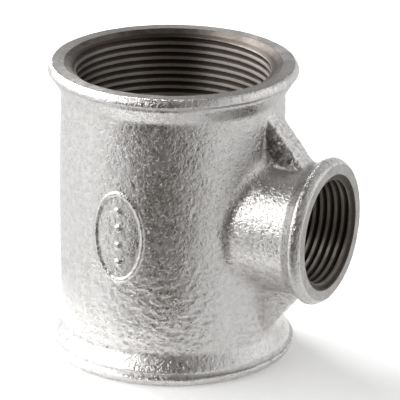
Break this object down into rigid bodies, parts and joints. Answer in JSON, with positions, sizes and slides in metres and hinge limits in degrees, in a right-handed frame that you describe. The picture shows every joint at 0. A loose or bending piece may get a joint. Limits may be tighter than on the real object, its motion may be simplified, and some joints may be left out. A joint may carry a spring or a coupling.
{
  "type": "reducing pipe tee",
  "caption": "Reducing pipe tee in galvanised cast iron: straight barrel, smaller side outlet, beaded ends, webs beside the outlet and internal pipe threads in every port.",
  "frame": {"origin": "centre of the bottom end face, on the run axis", "axes": "+Z along the run, out of the top port; +X along the branch, out of its port"},
  "size_m": [0.0889, 0.0738, 0.088],
  "materials": {
    "galvanised_casting": "hot-dip galvanised, bright, with a fine cast grain",
    "bare_thread": "bare machined iron, lightly oiled"
  },
  "bodies": {
    "root": {"run_barrel": "galvanised_casting", "top_band": "galvanised_casting", "bottom_band": "galvanised_casting", "branch_neck": "galvanised_casting", "branch_band": "galvanised_casting", "upper_rib": "galvanised_casting", "lower_rib": "galvanised_casting", "mark_ring": "galvanised_casting", "mark_pips": "galvanised_casting", "top_thread": "bare_thread", "bottom_thread": "bare_thread", "branch_thread": "bare_thread"}
  },
  "joints": []
}
